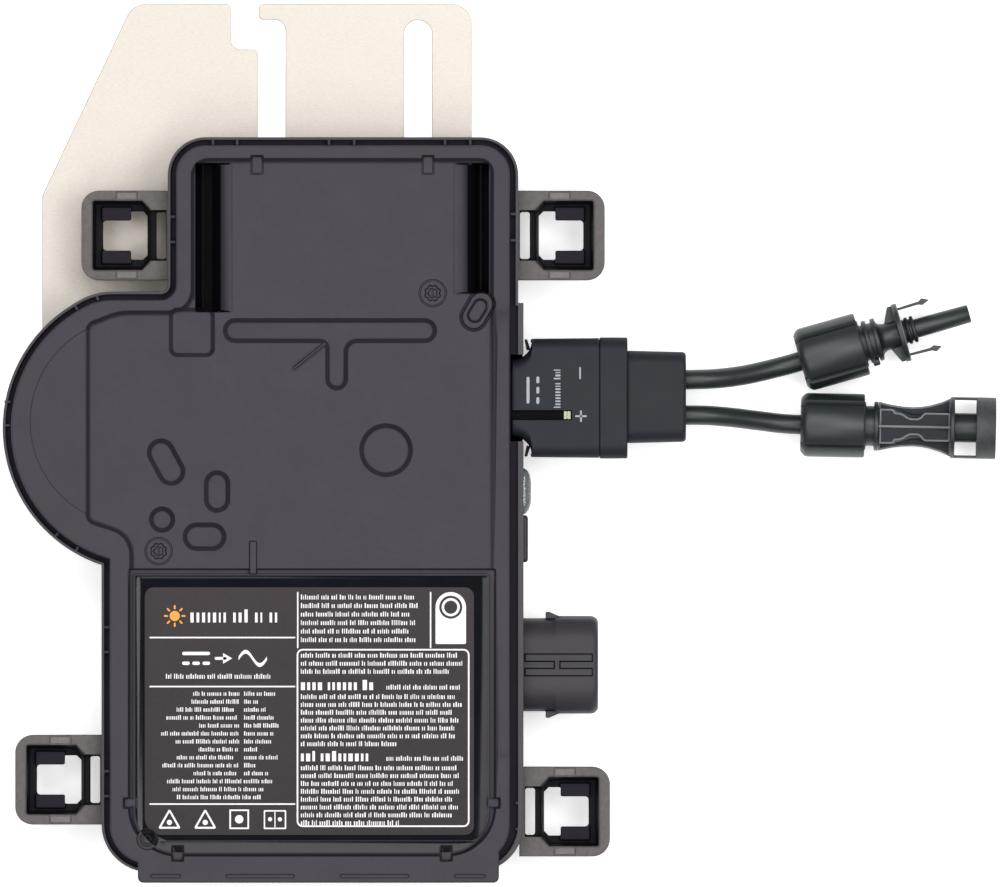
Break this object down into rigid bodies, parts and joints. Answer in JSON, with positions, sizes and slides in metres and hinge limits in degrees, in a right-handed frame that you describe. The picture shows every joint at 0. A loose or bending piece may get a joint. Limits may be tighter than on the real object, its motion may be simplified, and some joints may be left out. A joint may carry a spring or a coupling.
{
  "type": "micro inverter",
  "caption": "Flat black solar micro inverter with clip ears and outlet connector, on a slotted steel bracket, with its two-lead panel plug fitted.",
  "frame": {"origin": "centre of the footprint of body, bracket and plug, without the free leads, at the bracket's back face", "axes": "+Z out of the labelled cover, +Y towards the bracket's hooked edge, +X towards the connectors"},
  "size_m": [0.2838, 0.251, 0.0337],
  "materials": {
    "steel": "brushed stainless sheet",
    "housing_plastic": "moulded, fine satin",
    "cover_plastic": "moulded, fine satin",
    "plug_plastic": "moulded satin",
    "connector_plastic": "moulded satin",
    "rubber": "matt",
    "cable_jacket": "smooth matt jacket",
    "label": "printed film",
    "lens": "clear moulding",
    "lamp": "diffused",
    "insert": "smooth",
    "board": "solder mask",
    "ferrite": "sintered",
    "copper_winding": "enamelled",
    "brass": "plated",
    "screw_steel": "bright",
    "aluminium": "milled",
    "can": "sleeved",
    "film_block": "dipped",
    "chip": "epoxy",
    "relay_block": "moulded",
    "fuse_body": "ceramic"
  },
  "bodies": {
    "inverter": {"mounting_bracket": "steel", "bracket_screw_1": "screw_steel", "bracket_screw_2": "screw_steel", "bracket_screw_3": "screw_steel", "bracket_screw_4": "screw_steel", "rear_housing": "housing_plastic", "front_cover": "cover_plastic", "cover_gasket": "rubber", "rating_label": "label", "circuit_board": "board", "transformer_core_lower": "ferrite", "transformer_core_upper": "ferrite", "transformer_winding": "copper_winding", "filter_choke": "copper_winding", "output_choke": "copper_winding", "input_capacitor_1": "can", "input_capacitor_2": "can", "input_capacitor_3": "can", "input_capacitor_4": "can", "film_capacitor": "film_block", "grid_relay": "relay_block", "control_chip": "chip", "heat_spreader": "aluminium", "power_switch_1": "chip", "power_switch_2": "chip", "power_switch_3": "chip", "power_switch_4": "chip", "line_fuse": "fuse_body", "ac_connector_shell": "housing_plastic", "ac_pin_1": "brass", "ac_pin_2": "brass", "ac_pin_3": "brass", "ac_connector_seal": "rubber", "dc_socket": "housing_plastic", "dc_pin_minus": "brass", "dc_pin_plus": "brass", "status_lens": "lens", "status_led": "lamp"},
    "dc_plug": {"dc_plug_body": "plug_plastic", "dc_plug_contact_minus": "brass", "dc_plug_contact_plus": "brass", "dc_plug_face_seal": "rubber", "dc_plug_lock_insert": "insert", "dc_plug_collar": "plug_plastic", "dc_plug_boot": "plug_plastic", "dc_lead_minus": "cable_jacket", "dc_lead_plus": "cable_jacket", "minus_connector_body": "connector_plastic", "minus_connector_seal": "rubber", "minus_connector_contact": "brass", "plus_connector_body": "connector_plastic", "plus_connector_seal": "rubber", "plus_connector_contact": "brass"},
    "dc_plug_latch_lower": {"dc_plug_latch_lower": "plug_plastic"},
    "dc_plug_latch_upper": {"dc_plug_latch_upper": "plug_plastic"},
    "minus_connector_arm_1": {"minus_connector_arm_1": "connector_plastic"},
    "minus_connector_arm_2": {"minus_connector_arm_2": "connector_plastic"},
    "minus_connector_nut": {"minus_connector_nut": "connector_plastic"},
    "plus_connector_nut": {"plus_connector_nut": "connector_plastic"}
  },
  "joints": [
    {"name": "plug_slide", "type": "slide", "parent": "inverter", "child": "dc_plug", "axis": [1, 0, 0], "range_m": [0, 0.024]},
    {"name": "latch_upper_flex", "type": "hinge", "parent": "dc_plug", "child": "dc_plug_latch_upper", "pos_m": [0.0521, 0.02705, 0.0165], "axis": [0, 0, 1], "range_deg": [-12, 0], "stiffness_Nm_per_rad": 0.02},
    {"name": "latch_lower_flex", "type": "hinge", "parent": "dc_plug", "child": "dc_plug_latch_lower", "pos_m": [0.0521, -0.00145, 0.0165], "axis": [0, 0, 1], "range_deg": [0, 12], "stiffness_Nm_per_rad": 0.02},
    {"name": "minus_nut_turn", "type": "hinge", "parent": "dc_plug", "child": "minus_connector_nut", "pos_m": [0.1302, 0.0233, 0.0095], "axis": [0.9622, 0.2723, 0], "continuous": true},
    {"name": "plus_nut_turn", "type": "hinge", "parent": "dc_plug", "child": "plus_connector_nut", "pos_m": [0.1303, 0.0052, 0.0095], "axis": [0.9998, -0.0192, 0], "continuous": true},
    {"name": "minus_arm_1_flex", "type": "hinge", "parent": "dc_plug", "child": "minus_connector_arm_1", "pos_m": [0.15841, 0.03819, 0.0095], "axis": [0, 0, 1], "range_deg": [-7, 0], "stiffness_Nm_per_rad": 0.02},
    {"name": "minus_arm_2_flex", "type": "hinge", "parent": "dc_plug", "child": "minus_connector_arm_2", "pos_m": [0.16203, 0.0254, 0.0095], "axis": [0, 0, 1], "range_deg": [0, 7], "stiffness_Nm_per_rad": 0.02}
  ]
}
